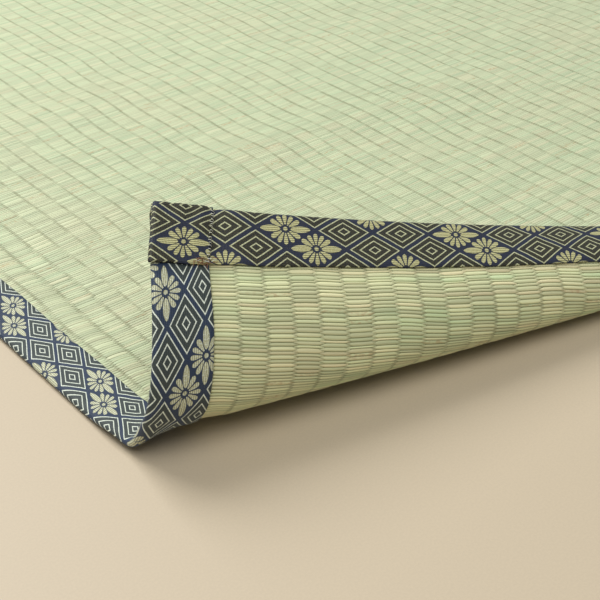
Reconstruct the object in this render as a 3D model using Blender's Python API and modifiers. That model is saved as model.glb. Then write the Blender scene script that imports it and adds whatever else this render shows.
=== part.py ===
"""Rush grass carpet with brocade tape round its edges, lying flat with one corner turned up and over.

Metres, +Z up. The origin is on the floor under the middle of the carpet. X runs across the width, along
the rushes, and Y along the length, along the warp threads. The front left corner is the turned-up one.

Every piece is first laid out flat, as a place (across, along) measured from the front left corner and a
height above the panel's middle layer. One function, bent_place, then carries that flat place onto the
floor and round the turned-up corner, so that all layers stay the same distance apart.
"""
import math

import bmesh
import bpy

# The carpet laid flat
WIDTH = 0.870
LENGTH = 1.740
PANEL_THICKNESS = 0.0020
TAPE_THICKNESS = 0.0010
GAP = 0.0003

# Grid of the flat carpet. Its small cells are three times as wide as long, because the fold runs 1 in 3
# to the short edge and their diagonals then lie along it.
CELL_ALONG = 0.00475
CELL_ACROSS = 3 * CELL_ALONG
UNDER_CELLS = 6
TOP_CELLS = 5
TAPE_UNDER_WIDTH = UNDER_CELLS * CELL_ALONG
TAPE_TOP_WIDTH = TOP_CELLS * CELL_ALONG
RAMP_CELLS = 3
COARSE_STEPS = 6

# The tape's end under a corner: how far it reaches in from the side, and how far it stays off the edge
TAIL_LENGTH = 0.0310
TAIL_INSET = 0.00025
TAIL_STEPS = 2

# The turned-up corner. The fold line crosses the corner at 1 in 3 to the short edge.
FOLD_SLOPE = 1 / 3
FOLD_DEPTH = 0.1595
ROW_SPACING = 0.150
# One row for each ROW_SPACING along the fold, from the long edge on: how far the sheet turns over, in
# degrees, the length of sheet that the turn takes, how much it still curls beyond the turn, in radians a
# metre, and how far it leans along the fold for each metre of height.
BEND_ROWS = (
    # turn, reach, curl, lean
    (104.4, 0.0692, 5.4, -0.11),
    (138.5, 0.0545, 4.9, -0.26),
    (181.0, 0.0293, 4.3, -0.41),
)
FIRST_ROW_PLACE = -0.2
TURN_SHARPNESS = 3.0
STEPS_IN_BEND = 24

SAME_PLANE = math.radians(0.02)
SHARP_EDGE = math.radians(40)

# Colours
RUSH_COLOUR = (0.62, 0.64, 0.40, 1.0)
TAPE_COLOUR = (0.05, 0.07, 0.17, 1.0)

LAYER = TAPE_THICKNESS + GAP
LEG_HEIGHT = PANEL_THICKNESS / 2 + GAP + TAPE_THICKNESS / 2
TAIL_HEIGHT = LEG_HEIGHT + LAYER
MIDDLE_HEIGHT = PANEL_THICKNESS / 2 + LAYER
FOLD_ANGLE = math.atan(FOLD_SLOPE)
FOLD_ALONG = (math.cos(FOLD_ANGLE), -math.sin(FOLD_ANGLE))
FOLD_OUTWARD = (-math.sin(FOLD_ANGLE), -math.cos(FOLD_ANGLE))


def clear_scene():
    for thing in list(bpy.data.objects):
        bpy.data.objects.remove(thing, do_unlink=True)


def cloth_material(name, colour, roughness):
    material = bpy.data.materials.new(name)
    material.use_nodes = True
    shader = material.node_tree.nodes["Principled BSDF"]
    shader.inputs["Base Color"].default_value = colour
    shader.inputs["Roughness"].default_value = roughness
    shader.inputs["Metallic"].default_value = 0.0
    material.diffuse_color = colour
    return material


def smooth_step(x):
    x = min(max(x, 0.0), 1.0)
    return x * x * (3 - 2 * x)


def layers_below(across, along):
    """How many tape layers hold the panel off the floor here: one over a tape, two over a corner tail."""
    ramp = RAMP_CELLS * CELL_ALONG
    from_side = min(across, WIDTH - across)
    from_end = min(along, LENGTH - along)
    over_side = 1 - smooth_step((from_side - TAIL_LENGTH) / ramp)
    over_end = 1 - smooth_step((from_end - TAPE_UNDER_WIDTH) / ramp)
    return over_side + over_end


def bend_values(station):
    """Turn, reach, curl and lean at a place along the fold, on a parabola through the three rows."""
    t = min(max(station / (2 * ROW_SPACING), FIRST_ROW_PLACE), 1.0)
    weights = ((1 - t) * (1 - 2 * t), 4 * t * (1 - t), t * (2 * t - 1))
    turn, reach, curl, lean = (
        sum(weight * row[column] for weight, row in zip(weights, BEND_ROWS)) for column in range(4)
    )
    return math.radians(turn), reach, curl, lean


def slope_at(distance, turn, reach, curl):
    return turn * (1 - math.exp(-((distance / reach) ** TURN_SHARPNESS))) + curl * distance


def bent_place(across, along, height):
    """World place of a flat place, height above the panel's middle layer."""
    station = across * FOLD_ALONG[0] + along * FOLD_ALONG[1]
    outward = across * FOLD_OUTWARD[0] + along * FOLD_OUTWARD[1]
    into_bend = outward + FOLD_DEPTH
    lift = height + (layers_below(across, along) - 1) * LAYER
    rise = 0.0
    slope = 0.0
    if into_bend > 0:
        turn, reach, curl, lean = bend_values(station)
        step = into_bend / STEPS_IN_BEND
        run = 0.0
        for k in range(STEPS_IN_BEND):
            slope = slope_at((k + 0.5) * step, turn, reach, curl)
            run += step * math.cos(slope)
            rise += step * math.sin(slope)
        slope = slope_at(into_bend, turn, reach, curl)
        outward = run - FOLD_DEPTH
        station += lean * rise
    outward -= lift * math.sin(slope)
    return (
        station * FOLD_ALONG[0] + outward * FOLD_OUTWARD[0] - WIDTH / 2,
        station * FOLD_ALONG[1] + outward * FOLD_OUTWARD[1] - LENGTH / 2,
        MIDDLE_HEIGHT + rise + lift * math.cos(slope),
    )


def grid_lines(length, bend_end, cell):
    """Distances from one edge: fine over both tapes, cells as far as the bend reaches, then long steps."""
    margin = [k * CELL_ALONG for k in range(1, UNDER_CELLS + RAMP_CELLS + 1)]
    lines = margin + [length - distance for distance in margin]
    start = margin[-1]
    fine = math.ceil((bend_end - start) / cell)
    lines += [start + k * cell for k in range(1, fine + 1)]
    start += fine * cell
    step = (length - margin[-1] - start) / COARSE_STEPS
    lines += [start + k * step for k in range(1, COARSE_STEPS)]
    return sorted(lines)


def bend_end(direction):
    return FOLD_DEPTH / abs(FOLD_OUTWARD[direction])


ACROSS_LINES = grid_lines(WIDTH, bend_end(0), CELL_ACROSS)
ALONG_LINES = grid_lines(LENGTH, bend_end(1), CELL_ALONG)


def add_grid(mesh, rows):
    """Add a grid whose corners are the flat places in rows, each (across, along, height)."""
    made = bmesh.ops.create_grid(mesh, x_segments=len(rows) - 1, y_segments=len(rows[0]) - 1, size=1)
    corners = sorted(made["verts"], key=lambda corner: (round(corner.co.x, 5), round(corner.co.y, 5)))
    for corner, place in zip(corners, (place for row in rows for place in row)):
        corner.co = place


def thickened(name, grids, thickness, collection):
    """Mesh of a flat sheet: grids joined where they share places, with their thickness."""
    mesh = bmesh.new()
    for rows in grids:
        add_grid(mesh, rows)
    bmesh.ops.remove_doubles(mesh, verts=mesh.verts, dist=GAP / 10)
    bmesh.ops.recalc_face_normals(mesh, faces=mesh.faces)
    data = bpy.data.meshes.new(name)
    mesh.to_mesh(data)
    mesh.free()
    flat = bpy.data.objects.new(name, data)
    collection.objects.link(flat)
    shell = flat.modifiers.new("thickness", "SOLIDIFY")
    shell.solidify_mode = "NON_MANIFOLD"
    shell.nonmanifold_thickness_mode = "CONSTRAINTS"
    shell.nonmanifold_merge_threshold = GAP / 10
    shell.thickness = thickness
    shell.offset = 0.0
    made = bpy.data.meshes.new_from_object(flat.evaluated_get(bpy.context.evaluated_depsgraph_get()))
    bpy.data.objects.remove(flat, do_unlink=True)
    return made


def split_along_fold(mesh):
    """Cut each face in two by the diagonal that lies nearest the fold, so that no face is twisted."""
    for face in [face for face in mesh.faces if len(face.verts) == 4]:
        corners = list(face.verts)
        pairs = ((corners[0], corners[2]), (corners[1], corners[3]))

        def off_fold(pair):
            step = pair[1].co - pair[0].co
            return abs(step.x * FOLD_OUTWARD[0] + step.y * FOLD_OUTWARD[1])

        first, second = min(pairs, key=off_fold)
        bmesh.utils.face_split(face, first, second)


def add_sheet(name, grids, thickness, material, collection):
    """A sheet of cloth: its flat form, bent round the turned-up corner and laid on the floor."""
    data = thickened(name, grids, thickness, collection)
    mesh = bmesh.new()
    mesh.from_mesh(data)
    split_along_fold(mesh)
    for corner in mesh.verts:
        corner.co = bent_place(*corner.co)
    mesh.normal_update()
    bmesh.ops.dissolve_limit(mesh, angle_limit=SAME_PLANE, verts=mesh.verts, edges=mesh.edges)
    bmesh.ops.recalc_face_normals(mesh, faces=mesh.faces)
    mesh.to_mesh(data)
    mesh.free()
    data.name = name
    data.materials.append(material)
    data.shade_smooth()
    data.set_sharp_from_angle(angle=SHARP_EDGE)
    sheet = bpy.data.objects.new(name, data)
    collection.objects.link(sheet)
    return sheet


def rush_panel(material, collection):
    """One woven panel, its edges a gap inside the tapes' walls."""
    edge = TAPE_THICKNESS + GAP
    across_lines = [edge] + ACROSS_LINES + [WIDTH - edge]
    along_lines = [edge] + ALONG_LINES + [LENGTH - edge]
    rows = [[(across, along, 0.0) for along in along_lines] for across in across_lines]
    return add_sheet("rush_panel", [rows], PANEL_THICKNESS, material, collection)


def tape_section():
    """The tape's section: distance from the edge and height, from the upper leg round to the lower."""
    wall = TAPE_THICKNESS / 2
    upper = [(k * CELL_ALONG, LEG_HEIGHT) for k in range(TOP_CELLS, 0, -1)]
    lower = [(k * CELL_ALONG, -LEG_HEIGHT) for k in range(1, UNDER_CELLS + 1)]
    return upper + [(wall, LEG_HEIGHT), (wall, -LEG_HEIGHT)] + lower


def long_tape(name, right, material, collection):
    """Tape folded round a long edge, butted against the short tapes at both ends."""
    under_start = TAPE_UNDER_WIDTH + GAP
    top_start = TAPE_TOP_WIDTH + GAP
    inner = [along for along in ALONG_LINES if under_start < along < LENGTH - under_start]
    columns = []
    for distance, height in tape_section():
        start = top_start if height > 0 and distance > TAPE_THICKNESS else under_start
        across = WIDTH - distance if right else distance
        columns.append([(across, along, height) for along in [start] + inner + [LENGTH - start]])
    return add_sheet(name, [columns], TAPE_THICKNESS, material, collection)


def short_tape(name, back, material, collection):
    """Tape folded round a short edge, with a tail turned back under the corner at each end."""

    def from_edge(distance):
        return LENGTH - distance if back else distance

    columns = []
    for distance, height in tape_section():
        columns.append([(across, from_edge(distance), height) for across in [0.0] + ACROSS_LINES + [WIDTH]])
    grids = [columns]
    top = [distance for distance, height in tape_section() if height > 0 and distance > TAPE_THICKNESS]
    for right in (False, True):
        grids.append(tail_rows(top, right, from_edge))
    return add_sheet(name, grids, TAPE_THICKNESS, material, collection)


def tail_rows(top, right, from_edge):
    """The tape's end: it leaves the upper leg, turns down outside the corner and back under it."""
    outside = -(GAP + TAPE_THICKNESS / 2)
    spread = (TAPE_UNDER_WIDTH - TAIL_INSET) / (top[0] - top[-1])
    under = [TAIL_INSET + (distance - top[-1]) * spread for distance in top]
    route = [(0.0, LEG_HEIGHT, top), (outside, LEG_HEIGHT, top), (outside, -TAIL_HEIGHT, under)]
    for k in range(1, TAIL_STEPS + 1):
        route.append((k * TAIL_LENGTH / TAIL_STEPS, -TAIL_HEIGHT, under))
    rows = []
    for distance, height, places in route:
        across = WIDTH - distance if right else distance
        rows.append([(across, from_edge(place), height) for place in places])
    return rows


def main():
    clear_scene()
    collection = bpy.data.collections.new("rush_grass_carpet")
    bpy.context.scene.collection.children.link(collection)
    rush = cloth_material("rush", RUSH_COLOUR, 0.6)
    tape = cloth_material("tape", TAPE_COLOUR, 0.7)
    rush_panel(rush, collection)
    long_tape("long_tape_left", False, tape, collection)
    long_tape("long_tape_right", True, tape, collection)
    short_tape("short_tape_front", False, tape, collection)
    short_tape("short_tape_back", True, tape, collection)


main()
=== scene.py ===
"""Looks of the rush grass carpet: woven rush, brocade tape round its edges, one corner turned up and over.

Metres, +Z up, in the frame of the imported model. Every piece is laid out flat first, as a place (across,
along) measured from the front left corner and a height above the panel's middle layer, and is then carried
onto the floor and round the turned-up corner by bent_places.
"""
import math

import bmesh
import bpy
import numpy as np
from mathutils import Matrix, Vector


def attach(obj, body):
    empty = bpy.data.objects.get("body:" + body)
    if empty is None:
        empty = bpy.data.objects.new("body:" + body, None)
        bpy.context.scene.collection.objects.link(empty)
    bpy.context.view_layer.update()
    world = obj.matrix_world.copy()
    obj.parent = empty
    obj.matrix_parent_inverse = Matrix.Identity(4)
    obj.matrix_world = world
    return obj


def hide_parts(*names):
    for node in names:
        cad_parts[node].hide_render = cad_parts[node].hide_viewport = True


bl_info = {
    "name": "Rush Grass Carpet",
    "version": (1, 0, 0),
    "blender": (4, 5, 0),
    "location": "View3D > Sidebar > Carpet",
    "description": "Dresses the rush carpet: woven rushes, brocade tape, sewing, floor and light",
    "category": "Object",
}

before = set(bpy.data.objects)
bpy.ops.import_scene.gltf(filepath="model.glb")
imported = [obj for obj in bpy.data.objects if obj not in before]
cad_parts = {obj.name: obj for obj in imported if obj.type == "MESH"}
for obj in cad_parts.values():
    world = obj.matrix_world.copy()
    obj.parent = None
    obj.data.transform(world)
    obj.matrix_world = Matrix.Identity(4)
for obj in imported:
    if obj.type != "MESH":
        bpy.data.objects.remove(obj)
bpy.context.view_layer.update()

# The flat carpet, as its solids are laid out
WIDTH = 0.870
LENGTH = 1.740
PANEL_THICKNESS = 0.0020
TAPE_THICKNESS = 0.0010
GAP = 0.0003
TAPE_UNDER_WIDTH = 0.0285
TAPE_TOP_WIDTH = 0.02375
TAIL_LENGTH = 0.0310
RAMP = 0.01425
LAYER = TAPE_THICKNESS + GAP
LEG_HEIGHT = PANEL_THICKNESS / 2 + GAP + TAPE_THICKNESS / 2
TAIL_HEIGHT = LEG_HEIGHT + LAYER
MIDDLE_HEIGHT = PANEL_THICKNESS / 2 + LAYER
LOWEST = 0.00002

# The turned-up corner, in the same rows as the solids: turn in degrees, reach, curl and lean
FOLD_SLOPE = 1 / 3
FOLD_DEPTH = 0.1595
ROW_SPACING = 0.150
BEND_ROWS = (
    # turn, reach, curl, lean
    (104.4, 0.0692, 5.4, -0.11),
    (138.5, 0.0545, 4.9, -0.26),
    (181.0, 0.0293, 4.3, -0.41),
)
FIRST_ROW_PLACE = -0.2
TURN_SHARPNESS = 3.0
STEPS_IN_BEND = 24
FOLD_ANGLE = math.atan(FOLD_SLOPE)
FOLD_ALONG = (math.cos(FOLD_ANGLE), -math.sin(FOLD_ANGLE))
FOLD_OUTWARD = (-math.sin(FOLD_ANGLE), -math.cos(FOLD_ANGLE))

# The turned corner's outer tip, where the folded tape dips and creases: place, depth and half widths
TIP_PLACE = (0.0, 0.1215)
TIP_DIP = 0.0056
TIP_SIZE = (0.0125, 0.0105)

# Soft swells of the flat part, left by the way it was packed, and how each one's height varies across
SWELLS = (
    # along, height, half_length, lean
    (0.325, 0.0022, 0.030, 0.03),
    (0.420, 0.0011, 0.040, -0.05),
    (0.560, 0.0018, 0.050, 0.04),
    (0.790, 0.0020, 0.060, -0.03),
    (1.080, 0.0018, 0.060, 0.05),
    (1.400, 0.0020, 0.060, -0.04),
)
SWELL_FADE = 0.080
SWELL_VARIES = 0.25
SWELL_TURN = 9.0
SWELL_SHIFT = 40.0

# The weave. A column lies over each pair of warp threads, and a stem shows in every second column.
COLUMN_TOP = 0.01245
COLUMN_UNDER = 0.0135
FIRST_COLUMN_TOP = 0.0040
FIRST_COLUMN_UNDER = 0.0009
STEM_PITCH = 0.0018
STEM_RISE_UNDER = 0.00050
STEM_RISE_TOP = 0.00022
BASE_HALF = 0.00070
VALLEY = 0.0003

# How far the woven lines stray sideways and lengthwise, as height and pitch of waves, and where that starts
WANDER = (0.0013, 0.085)
WANDER_START = (0.05, 0.15)
WOBBLE = (0.00045, 0.055)

# Single stems on top lie before a slanting border, end a little past it and sink towards it
NEAR_SLANT = 0.85
NEAR_FADE = 0.05
NEAR_SINK = 0.38
LAST_RISE = 0.25
FULLY_NEAR = 0.99

# Round the turned-up corner the weave is drier, with more painted shade in the gaps between stems, and its
# stems stand
# higher: where that starts to fade, over what length, how much higher, and how the line slants
CORNER_NEAR = 0.08
CORNER_FADE = 0.36
CORNER_RISE = 0.4
CORNER_SLOPE = 0.5

# The panel's grid: where its spacing changes, and the steps in each stretch
PANEL_ACROSS = ((0.06, 0.52), (30, 84, 22))
PANEL_ALONG = ((0.20, 0.62), (44, 48, 56))

# Where stems are modelled, (across, along), and how far the panel's top is lowered under them
UNDER_REGION = ((0.0156, 0.56), (0.0262, 0.20))
UNDER_STEMS_FROM = 0.002
UNDER_COVERED_FROM = 0.006
TOP_START = (0.0175, 0.0215)
TOP_MARGIN = 0.012
EDGE_PART = 0.055
LEFT_PART = 0.24
EDGE_DROP = 0.00036
TOP_DROP = 0.00012

# How stems differ, as shares of the room that each has
SHARED_STRAY = 0.13
OWN_STRAY = 0.09
MOST_STRAY = 0.36
FILL_RANGE = (0.95, 1.03)
RISE_RANGE = (0.82, 1.12)
VALLEY_HALF = 0.27
VALLEY_STRAY = 0.035
START_STRAY = 0.010
INSIDE_COLUMN = 0.497
INSIDE_STEM = 0.47

# A stem's sections from one valley to the next, and its outline: side from -1 to 1, height from 0 to 1
UNDER_SECTIONS = (
    # share, spread, height
    (-0.13, -0.10, -0.55), (-0.055, 0.0, 0.10), (0.0, 0.12, 0.52), (0.06, 0.50, 0.80), (0.15, 0.88, 0.95),
    (0.50, 1.0, 1.0), (0.85, 0.88, 0.95), (0.94, 0.50, 0.80), (1.0, 0.12, 0.52), (1.055, 0.0, 0.10),
    (1.13, -0.10, -0.55),
)
UNDER_RING = ((-1.0, 0.0), (-0.90, 0.52), (-0.48, 0.90), (0.0, 1.0), (0.48, 0.90), (0.90, 0.52), (1.0, 0.0))
TOP_SECTIONS = (
    (-0.11, -0.10, -0.90), (0.0, 0.15, 0.25), (0.12, 0.85, 0.95), (0.88, 0.85, 0.95), (1.0, 0.15, 0.25),
    (1.11, -0.10, -0.90),
)
EDGE_SECTIONS = (
    *TOP_SECTIONS[:3], (0.28, 0.95, 1.0), (0.43, 1.0, 1.0), (0.57, 1.0, 1.0), (0.72, 0.95, 1.0),
    *TOP_SECTIONS[3:],
)
TOP_RING = ((-1.0, 0.48), (-0.55, 0.95), (0.55, 0.95), (1.0, 0.48))

# Finish of the rush. shade is how light the rush is painted: the modelled stems are painted lighter than
# the panel to make up for the shade they cast on each other. gap and end are how strong the painted shade
# is between stems and at their ends. uneven is 1 where no stems are modelled, and border_shade is the shade
# at the border.
RUSH_TOP = {
    "shade": 0.76, "bleach_and_light": 0.42, "gap": 0.66, "gap_variety": 1.0, "end": 0.56, "variety": 0.12, "uneven": 1.0}
STEMS_TOP = {
    "shade": 0.79, "bleach_and_light": 0.42, "gap": 0.70, "gap_variety": 1.0, "end": 0.60, "variety": 0.12, "uneven": 0.0,
    "border_shade": 0.752}
STEMS_UNDER = {
    "shade": 0.96, "bleach_and_light": 0.0, "gap": 0.86, "gap_variety": 0.3, "end": 0.46, "variety": 0.30, "uneven": 0.0}
FLECK = (0.42, 0.24, 0.10, 1.0)
FLECK_SHARE = 0.45

# The tape's woven figure, in metres: a diamond cell's length and width, and petals of a quarter flower
CELL = (0.0314, 0.0196)
DIAMOND_LINES = (0.19, 0.515, 0.84)
PETALS = (
    # turn from the tape's length in degrees, start, end, how fast it widens
    (31.0, 0.0024, 0.0088, 0.235),
    (60.0, 0.0022, 0.0079, 0.240),
    (90.0, 0.0022, 0.0080, 0.235),
)
LONG_PETAL = (0.0027, 0.0133, 0.00172)
HEART = (0.00095, 0.00130)
RIBS_IN_CELL = 19
THREADS_IN_CELL = 44
# Across the carpet, where the front tape's painted sheen of window light starts, and over what length it
# comes in
PAINTED_SHEEN_FROM = -0.15
PAINTED_SHEEN_FADE = 0.12
SHEEN_TINT = (0.55, 0.70, 1.0, 1.0)

# How the figure lies on each edge's lower and upper leg, lengthwise and then crosswise: how many cells to a
# metre along the edge, how many to a metre in from it, and where the count starts. It slants a little,
# because the tape is cut and folded by hand.
FIGURES = {
    "left": (
        ((-33.76, -6.34, -0.023), (-0.55, 54.85, -0.814)), ((-35.06, 11.1, 5.900), (0.0, -59.0, 0.915))),
    "front": (((31.73, 2.47, -2.230), (0.0, 46.5, -0.387)), ((32.4, 0.0, -2.000), (0.0, -52.0, 0.700))),
    "right": (((33.0, 0.0, -0.800), (0.0, 53.0, -0.400)), ((33.0, 2.0, -1.250), (0.0, -52.0, 0.650))),
    "back": (((-32.4, 1.5, 1.600), (0.0, 53.0, -0.500)), ((-32.4, 0.0, 0.300), (0.0, -52.0, 0.730))),
}

# The figure changes from the lower leg's to the upper leg's past this place of the upper leg's path; on the
# turned-up part of the left edge it does so at the fold's far side, from a place along the edge on
CHANGE_AT = {"front": 0.004, "left": 0.007, "right": -0.006, "back": -0.006}
LEFT_TURNED = (-0.006, 0.116)

# The folded tape's section, and how far its fold stands out past its own thickness: at the corner, and then
# by how much, from where and over what length it changes
TAPE_HALF = 0.00045
FOLD_INSET = 0.0005
LEG_STEPS = (14, 12)
ARC_STEPS = 10
BUTT = 0.00005
SHORT_TAPE_STARTS = (0.0014, 0.0014, 0.0006)
BULGES = {
    "left": (0.0003, (0.0019, 0.112, 0.035)),
    "front": (0.0026, (-0.0008, 0.03, 0.03), (0.0004, 0.15, 0.1)),
    "right": (0.0012,),
    "back": (0.0012,),
}

# Puckers of the tape, coarse and fine, and the waves of its cut edges: height and pitch
PUCKERS = (0.00012, 0.012)
FINE_PUCKERS = (0.00008, 0.005)
EDGE_WAVES = (0.00030, 0.03)

# The tail: the way of the tape's end round the corner, (across, height), and back under it
TAIL_TURN = (
    (0.0030, LEG_HEIGHT), (0.0008, LEG_HEIGHT), (0.0002, LEG_HEIGHT - 0.0006), (0.0, 0.0005),
    (0.0, -0.0012), (0.0002, -TAIL_HEIGHT + 0.0006), (0.0009, -TAIL_HEIGHT),
)
TAIL_RUN = (0.0022, 0.0298)
TAIL_ROWS = 24
TAIL_COLUMNS = 26
TAIL_TOP = 0.0008
TAIL_SINK = 0.0026
TAIL_LOW = 0.0288
TAIL_START = (-0.0013, 0.0037)
TAIL_END = (0.0281, 0.0048)
TAIL_BELOW = -0.0028
TAIL_FIGURE = (0.0163, 0.0185, 0.0192)
TAIL_SHEAR = 0.135
TAIL_CREASES = (0.00022, 0.011)
TAIL_RAGGED = (0.0005, 0.004)
TAIL_HEM = (0.0005, 0.006)

# Sewing: stitches over a length of the tail's cut end, and the fibres that came loose at its inner corner
STITCHES = 18
STITCHED = 0.0290
FIBRES = 22
FIBRE_STEPS = 6
THREAD_SIDES = 6

# Camera, from the photograph's view, and light: name, place, size and power
CAMERA_PLACE = (-0.6555, -1.1409, 0.3747)
CAMERA_YAW = math.radians(39.02)
CAMERA_PITCH = math.radians(33.34)
CAMERA_ROLL = math.radians(-0.60)
CAMERA_LENS = 77.1
LIGHTS = (
    ("window", (-0.5, 0.6, 1.6), 1.2, 36.0),
    ("fill", (-1.1, -1.5, 2.5), 1.8, 44.0),
)
LIT_PLACE = (-0.20, -0.70, 0.03)
SKY = (0.93, 0.96, 1.0, 1.0)
SKY_STRENGTH = 0.24
FLOOR_SIZE = 8.0


def a_length(name, description, default):
    return bpy.props.FloatProperty(
        name=name, description=description, default=default, min=0.0, unit="LENGTH", precision=5)


def a_colour(name, description, default):
    return bpy.props.FloatVectorProperty(
        name=name, description=description, default=default, subtype="COLOR", size=3, min=0.0, max=1.0)


class CarpetSizes(bpy.types.PropertyGroup):
    """Sizes of the woven detail."""

    stem_rise_under: a_length(
        "Stem rise, underside", "How far a stem stands out of the turned-up underside", STEM_RISE_UNDER)
    stem_rise_top: a_length(
        "Stem rise, top", "How far a stem stands out of the upper side", STEM_RISE_TOP)
    stem_width: bpy.props.FloatProperty(
        name="Stem width", description="Width of one stem as it shows, as a share of its room",
        default=0.98, min=0.5, max=1.2)
    near_reach: a_length(
        "Near reach", "How far from the corner single stems are modelled on the upper side", 0.65)
    thread_radius: a_length("Thread radius", "Radius of the sewing thread", 0.00014)


class CarpetColours(bpy.types.PropertyGroup):
    """Colours of the rush, the tape and the floor."""

    green_rush: a_colour("Green rush", "Stems that kept their green", (0.54, 0.66, 0.37))
    pale_rush: a_colour("Pale rush", "Most of the stems", (0.66, 0.71, 0.41))
    straw_rush: a_colour("Straw rush", "Stems that dried to straw", (0.75, 0.69, 0.41))
    # The upper side is mixed towards this colour: partly bleaching, partly painted light, since the
    # underside keeps a warmer colour that stands for light thrown up from the floor
    bleach_and_light_top: a_colour("Bleached", "What the upper side has bleached towards", (0.70, 0.79, 0.56))
    gap_shade: a_colour("Gap shade", "Between two stems", (0.12, 0.12, 0.045))
    navy: a_colour("Navy", "Ground of the tape", (0.0135, 0.019, 0.043))
    olive: a_colour("Olive", "Threads mixed into the ground inside the diamonds", (0.064, 0.058, 0.022))
    cream: a_colour("Cream", "Thread of the diamonds' lines", (0.53, 0.54, 0.32))
    # Painted sheen: these three colours stand for window light glancing off the long tapes, not for the
    # threads' own colour
    painted_sheen_ground: a_colour("Cool ground", "What the long tapes' ground leans towards", (0.028, 0.062, 0.120))
    painted_sheen_diamond: a_colour(
        "Cool diamond", "What the long tapes' ground leans towards inside the diamonds",
        (0.056, 0.090, 0.098))
    painted_sheen_cream: a_colour("Cool cream", "What the long tapes' lines lean towards", (0.88, 0.95, 0.84))
    petal: a_colour("Petal", "Thread of the flowers", (0.56, 0.53, 0.25))
    thread: a_colour("Thread", "Sewing thread and frayed ends", (0.80, 0.80, 0.70))
    frayed: a_colour("Frayed", "Brown fibres at the tape's cut ends", (0.26, 0.12, 0.05))
    floor: a_colour("Floor", "The plain floor of the picture", (0.54, 0.45, 0.32))


def sizes():
    return bpy.context.scene.carpet_sizes


def colours():
    return bpy.context.scene.carpet_colours


def rgba(shown, shade=1.0):
    return (shown[0] * shade, shown[1] * shade, shown[2] * shade, 1.0)


def smooth_step(x):
    x = np.clip(x, 0.0, 1.0)
    return x * x * (3 - 2 * x)


def into_bend(across, along):
    """How far a flat place lies past the line where the bend starts."""
    return across * FOLD_OUTWARD[0] + along * FOLD_OUTWARD[1] + FOLD_DEPTH


def layers_below(across, along):
    """How many tape layers hold the panel off the floor: one over a tape, two over a corner tail."""
    from_side = np.minimum(across, WIDTH - across)
    from_end = np.minimum(along, LENGTH - along)
    over_side = 1 - smooth_step((from_side - TAIL_LENGTH) / RAMP)
    over_end = 1 - smooth_step((from_end - TAPE_UNDER_WIDTH) / RAMP)
    return over_side + over_end


def swell(across, along):
    """Height of the flat part's soft swells, none near the edges and the turned-up corner."""
    from_side = np.minimum(across, WIDTH - across)
    fade = smooth_step((from_side - TAPE_UNDER_WIDTH / 2) / SWELL_FADE)
    total = np.zeros_like(across)
    for place, height, half_length, lean in SWELLS:
        off = (along - place - lean * (across - WIDTH / 2)) / half_length
        varied = 1 - SWELL_VARIES + SWELL_VARIES * np.sin(SWELL_TURN * across + SWELL_SHIFT * place)
        total += height * np.exp(-off * off) * varied
    return total * fade * smooth_step(-into_bend(across, along) / SWELL_FADE)


def bent_places(places):
    """World places of flat places, an array of (across, along, height)."""
    across, along, height = places[:, 0], places[:, 1], places[:, 2]
    station = across * FOLD_ALONG[0] + along * FOLD_ALONG[1]
    outward = across * FOLD_OUTWARD[0] + along * FOLD_OUTWARD[1]
    past = np.maximum(into_bend(across, along), 0.0)
    lift = height + (layers_below(across, along) - 1) * LAYER
    t = np.clip(station / (2 * ROW_SPACING), FIRST_ROW_PLACE, 1.0)
    weights = ((1 - t) * (1 - 2 * t), 4 * t * (1 - t), t * (2 * t - 1))
    turn, reach, curl, lean = (
        sum(weight * row[column] for weight, row in zip(weights, BEND_ROWS)) for column in range(4)
    )
    turn = np.radians(turn)

    def slope_at(distance):
        return turn * (1 - np.exp(-((distance / reach) ** TURN_SHARPNESS))) + curl * distance

    step = past / STEPS_IN_BEND
    run = np.zeros_like(step)
    rise = np.zeros_like(step)
    for k in range(STEPS_IN_BEND):
        slope = slope_at((k + 0.5) * step)
        run += step * np.cos(slope)
        rise += step * np.sin(slope)
    slope = slope_at(past)
    outward = np.where(past > 0, run - FOLD_DEPTH, outward) - lift * np.sin(slope)
    station = station + lean * rise
    tip = ((across - TIP_PLACE[0]) / TIP_SIZE[0]) ** 2 + ((along - TIP_PLACE[1]) / TIP_SIZE[1]) ** 2
    z = MIDDLE_HEIGHT + rise + lift * np.cos(slope) + swell(across, along) - TIP_DIP * np.exp(-tip)
    return np.stack(
        (
            station * FOLD_ALONG[0] + outward * FOLD_OUTWARD[0] - WIDTH / 2,
            station * FOLD_ALONG[1] + outward * FOLD_OUTWARD[1] - LENGTH / 2,
            np.maximum(z, LOWEST),
        ),
        axis=1,
    )


def ripple(u, v, size, seed, waves=6):
    """Smooth unevenness of a height and pitch: crossing waves, their turn and pitch drawn from a seed."""
    height, pitch = size
    draw = np.random.default_rng(seed)
    total = np.zeros(np.broadcast(u, v).shape)
    for _ in range(waves):
        angle = draw.uniform(0, math.pi)
        wave = 2 * math.pi / (pitch * draw.uniform(0.7, 1.6))
        total += np.sin(wave * (u * math.cos(angle) + v * math.sin(angle)) + draw.uniform(0, 2 * math.pi))
    return height * (total / (waves / 2))


def wander(across, along):
    """How far the woven lines stray sideways: the warp isn't laid quite straight."""
    start, fade = WANDER_START
    return ripple(across, along, WANDER, 3) * smooth_step((along - start) / fade)


def weave_wobble(across, along):
    """How far the stems stray along the length: they aren't beaten up quite evenly."""
    return ripple(across, along, WOBBLE, 11)


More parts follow.
